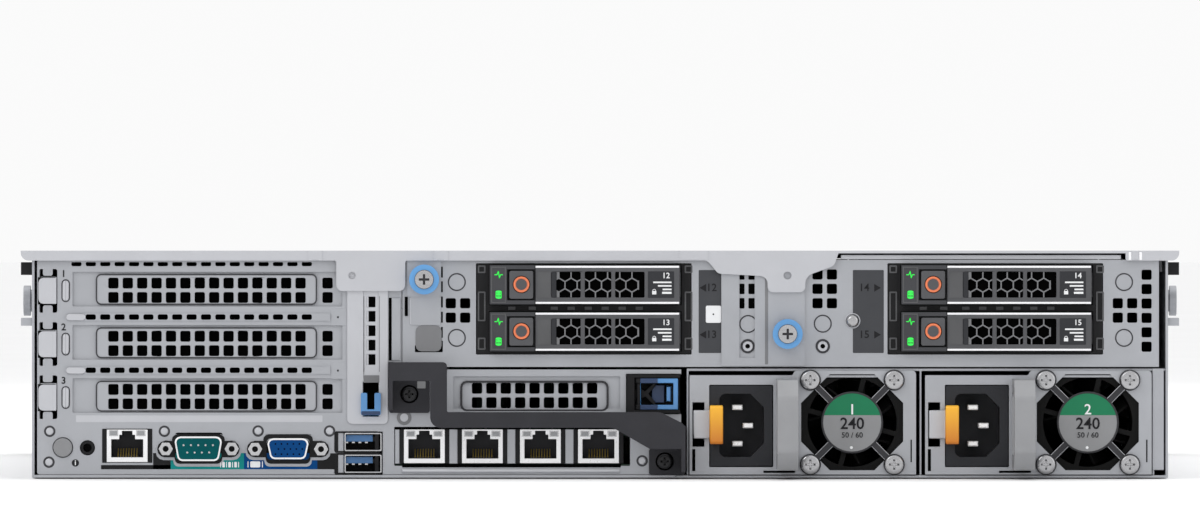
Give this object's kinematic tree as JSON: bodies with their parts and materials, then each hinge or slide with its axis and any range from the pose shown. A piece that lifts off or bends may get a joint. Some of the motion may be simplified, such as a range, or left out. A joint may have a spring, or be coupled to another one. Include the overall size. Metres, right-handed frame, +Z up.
{
  "type": "2u rack server",
  "caption": "Two-unit rack server with slide-out power supplies, front and rear drive carriers, rear ports and a sliding top cover.",
  "frame": {"origin": "centre of the footprint on the underside of the chassis", "axes": "+X to the right seen from the rear, +Y from the rear wall to the front drive bays, +Z up"},
  "size_m": [0.482, 0.7376, 0.0868],
  "materials": {
    "zinc_steel": "satin",
    "black_plastic": "matte",
    "black_steel": "satin",
    "jack_metal": "satin",
    "circuit_board": "satin",
    "heatsink_aluminium": "satin",
    "stud_steel": "satin",
    "blue_plastic": "satin",
    "grey_plastic": "satin",
    "guard_steel": "satin",
    "orange_plastic": "satin",
    "carrier_plastic": "satin"
  },
  "bodies": {
    "chassis": {"chassis_base": "zinc_steel", "rear_panel": "zinc_steel", "front_drive_cage": "zinc_steel", "rear_drive_cage": "zinc_steel", "rear_bay_frames": "black_plastic", "slot_blanks": "zinc_steel", "riser_bracket": "zinc_steel", "cable_bar": "black_steel", "latch_housing": "black_plastic", "network_jacks": "jack_metal", "port_connectors": "jack_metal", "circuit_boards": "circuit_board", "heatsinks": "heatsink_aluminium", "memory_modules": "circuit_board", "fan_modules": "black_plastic", "air_shroud": "black_plastic", "rack_ears": "black_steel", "rail_studs": "stud_steel"},
    "cover": {"top_cover": "zinc_steel"},
    "cover_lever": {"cover_latch": "black_plastic"},
    "screw_left": {"captive_screw_left": "blue_plastic"},
    "screw_right": {"captive_screw_right": "blue_plastic"},
    "clip": {"riser_clip": "blue_plastic"},
    "latch_lever": {"riser_latch": "blue_plastic"},
    "identify_button": {"id_button": "grey_plastic"},
    "front_power_button": {"power_button": "grey_plastic"},
    "psu_1": {"psu_1_case": "zinc_steel", "psu_1_inlet": "black_plastic", "psu_1_fan_guard": "guard_steel"},
    "psu_1_fan": {"psu_1_fan": "black_plastic"},
    "psu_1_latch": {"psu_1_latch": "orange_plastic"},
    "psu_2": {"psu_2_case": "zinc_steel", "psu_2_inlet": "black_plastic", "psu_2_fan_guard": "guard_steel"},
    "psu_2_fan": {"psu_2_fan": "black_plastic"},
    "psu_2_latch": {"psu_2_latch": "orange_plastic"},
    "drive_12": {"drive_12_carrier": "carrier_plastic"},
    "drive_12_lever": {"drive_12_handle": "carrier_plastic"},
    "drive_12_release": {"drive_12_button": "carrier_plastic"},
    "drive_13": {"drive_13_carrier": "carrier_plastic"},
    "drive_13_lever": {"drive_13_handle": "carrier_plastic"},
    "drive_13_release": {"drive_13_button": "carrier_plastic"},
    "drive_14": {"drive_14_carrier": "carrier_plastic"},
    "drive_14_lever": {"drive_14_handle": "carrier_plastic"},
    "drive_14_release": {"drive_14_button": "carrier_plastic"},
    "drive_15": {"drive_15_carrier": "carrier_plastic"},
    "drive_15_lever": {"drive_15_handle": "carrier_plastic"},
    "drive_15_release": {"drive_15_button": "carrier_plastic"},
    "front_bay_0": {"front_drive_0": "carrier_plastic"},
    "front_bay_1": {"front_drive_1": "carrier_plastic"},
    "front_bay_2": {"front_drive_2": "carrier_plastic"},
    "front_bay_3": {"front_drive_3": "carrier_plastic"},
    "front_bay_4": {"front_drive_4": "carrier_plastic"},
    "front_bay_5": {"front_drive_5": "carrier_plastic"},
    "front_bay_6": {"front_drive_6": "carrier_plastic"},
    "front_bay_7": {"front_drive_7": "carrier_plastic"},
    "front_bay_8": {"front_drive_8": "carrier_plastic"},
    "front_bay_9": {"front_drive_9": "carrier_plastic"},
    "front_bay_10": {"front_drive_10": "carrier_plastic"},
    "front_bay_11": {"front_drive_11": "carrier_plastic"}
  },
  "joints": [
    {"name": "cover_slide", "type": "slide", "parent": "chassis", "child": "cover", "axis": [0, -1, 0], "range_m": [0, 0.014]},
    {"name": "cover_lever_hinge", "type": "hinge", "parent": "cover", "child": "cover_lever", "pos_m": [0, -0.00505, 0.0822], "axis": [-1, 0, 0], "range_deg": [0, 70]},
    {"name": "screw_left_turn", "type": "hinge", "parent": "chassis", "child": "screw_left", "pos_m": [-0.0671, -0.33205, 0.0758], "axis": [0, -1, 0], "continuous": true},
    {"name": "screw_right_turn", "type": "hinge", "parent": "chassis", "child": "screw_right", "pos_m": [0.0716, -0.33205, 0.055], "axis": [0, -1, 0], "continuous": true},
    {"name": "clip_slide", "type": "slide", "parent": "chassis", "child": "clip", "axis": [0, 0, 1], "range_m": [0, 0.004], "stiffness_N_per_m": 400, "springref_m": -0.001},
    {"name": "latch_lever_hinge", "type": "hinge", "parent": "chassis", "child": "latch_lever", "pos_m": [0.0148, -0.33235, 0.03205], "axis": [0, 0, -1], "range_deg": [0, 60]},
    {"name": "identify_press", "type": "slide", "parent": "chassis", "child": "identify_button", "axis": [0, 1, 0], "range_m": [0, 0.001], "stiffness_N_per_m": 500},
    {"name": "power_press", "type": "slide", "parent": "chassis", "child": "front_power_button", "axis": [0, -1, 0], "range_m": [0, 0.001], "stiffness_N_per_m": 500},
    {"name": "psu_1_slide", "type": "slide", "parent": "chassis", "child": "psu_1", "axis": [0, -1, 0], "range_m": [0, 0.19]},
    {"name": "psu_1_fan_spin", "type": "hinge", "parent": "psu_1", "child": "psu_1_fan", "pos_m": [0.0963, -0.32205, 0.02125], "axis": [0, -1, 0], "continuous": true},
    {"name": "psu_1_latch_press", "type": "slide", "parent": "psu_1", "child": "psu_1_latch", "axis": [1, 0, 0], "range_m": [0, 0.003], "stiffness_N_per_m": 600},
    {"name": "psu_2_slide", "type": "slide", "parent": "chassis", "child": "psu_2", "axis": [0, -1, 0], "range_m": [0, 0.19]},
    {"name": "psu_2_fan_spin", "type": "hinge", "parent": "psu_2", "child": "psu_2_fan", "pos_m": [0.1863, -0.32205, 0.02125], "axis": [0, -1, 0], "continuous": true},
    {"name": "psu_2_latch_press", "type": "slide", "parent": "psu_2", "child": "psu_2_latch", "axis": [1, 0, 0], "range_m": [0, 0.003], "stiffness_N_per_m": 600},
    {"name": "drive_12_slide", "type": "slide", "parent": "chassis", "child": "drive_12", "axis": [0, -1, 0], "range_m": [0, 0.12]},
    {"name": "drive_12_lever_hinge", "type": "hinge", "parent": "drive_12", "child": "drive_12_lever", "pos_m": [0.0296, -0.33325, 0.07375], "axis": [0, 0, 1], "range_deg": [0, 50]},
    {"name": "drive_12_release_press", "type": "slide", "parent": "drive_12", "child": "drive_12_release", "axis": [0, 1, 0], "range_m": [0, 0.0015], "stiffness_N_per_m": 300},
    {"name": "drive_13_slide", "type": "slide", "parent": "chassis", "child": "drive_13", "axis": [0, -1, 0], "range_m": [0, 0.12]},
    {"name": "drive_13_lever_hinge", "type": "hinge", "parent": "drive_13", "child": "drive_13_lever", "pos_m": [0.0296, -0.33325, 0.05585], "axis": [0, 0, 1], "range_deg": [0, 50]},
    {"name": "drive_13_release_press", "type": "slide", "parent": "drive_13", "child": "drive_13_release", "axis": [0, 1, 0], "range_m": [0, 0.0015], "stiffness_N_per_m": 300},
    {"name": "drive_14_slide", "type": "slide", "parent": "chassis", "child": "drive_14", "axis": [0, -1, 0], "range_m": [0, 0.12]},
    {"name": "drive_14_lever_hinge", "type": "hinge", "parent": "drive_14", "child": "drive_14_lever", "pos_m": [0.1868, -0.33325, 0.07375], "axis": [0, 0, 1], "range_deg": [0, 50]},
    {"name": "drive_14_release_press", "type": "slide", "parent": "drive_14", "child": "drive_14_release", "axis": [0, 1, 0], "range_m": [0, 0.0015], "stiffness_N_per_m": 300},
    {"name": "drive_15_slide", "type": "slide", "parent": "chassis", "child": "drive_15", "axis": [0, -1, 0], "range_m": [0, 0.12]},
    {"name": "drive_15_lever_hinge", "type": "hinge", "parent": "drive_15", "child": "drive_15_lever", "pos_m": [0.1868, -0.33325, 0.05585], "axis": [0, 0, 1], "range_deg": [0, 50]},
    {"name": "drive_15_release_press", "type": "slide", "parent": "drive_15", "child": "drive_15_release", "axis": [0, 1, 0], "range_m": [0, 0.0015], "stiffness_N_per_m": 300},
    {"name": "front_bay_0_slide", "type": "slide", "parent": "chassis", "child": "front_bay_0", "axis": [0, 1, 0], "range_m": [0, 0.16]},
    {"name": "front_bay_1_slide", "type": "slide", "parent": "chassis", "child": "front_bay_1", "axis": [0, 1, 0], "range_m": [0, 0.16]},
    {"name": "front_bay_2_slide", "type": "slide", "parent": "chassis", "child": "front_bay_2", "axis": [0, 1, 0], "range_m": [0, 0.16]},
    {"name": "front_bay_3_slide", "type": "slide", "parent": "chassis", "child": "front_bay_3", "axis": [0, 1, 0], "range_m": [0, 0.16]},
    {"name": "front_bay_4_slide", "type": "slide", "parent": "chassis", "child": "front_bay_4", "axis": [0, 1, 0], "range_m": [0, 0.16]},
    {"name": "front_bay_5_slide", "type": "slide", "parent": "chassis", "child": "front_bay_5", "axis": [0, 1, 0], "range_m": [0, 0.16]},
    {"name": "front_bay_6_slide", "type": "slide", "parent": "chassis", "child": "front_bay_6", "axis": [0, 1, 0], "range_m": [0, 0.16]},
    {"name": "front_bay_7_slide", "type": "slide", "parent": "chassis", "child": "front_bay_7", "axis": [0, 1, 0], "range_m": [0, 0.16]},
    {"name": "front_bay_8_slide", "type": "slide", "parent": "chassis", "child": "front_bay_8", "axis": [0, 1, 0], "range_m": [0, 0.16]},
    {"name": "front_bay_9_slide", "type": "slide", "parent": "chassis", "child": "front_bay_9", "axis": [0, 1, 0], "range_m": [0, 0.16]},
    {"name": "front_bay_10_slide", "type": "slide", "parent": "chassis", "child": "front_bay_10", "axis": [0, 1, 0], "range_m": [0, 0.16]},
    {"name": "front_bay_11_slide", "type": "slide", "parent": "chassis", "child": "front_bay_11", "axis": [0, 1, 0], "range_m": [0, 0.16]}
  ],
  "couplings": [
    {"joint": "cover_lever_hinge", "follows": "cover_slide", "rad_per_m": 87.179}
  ]
}
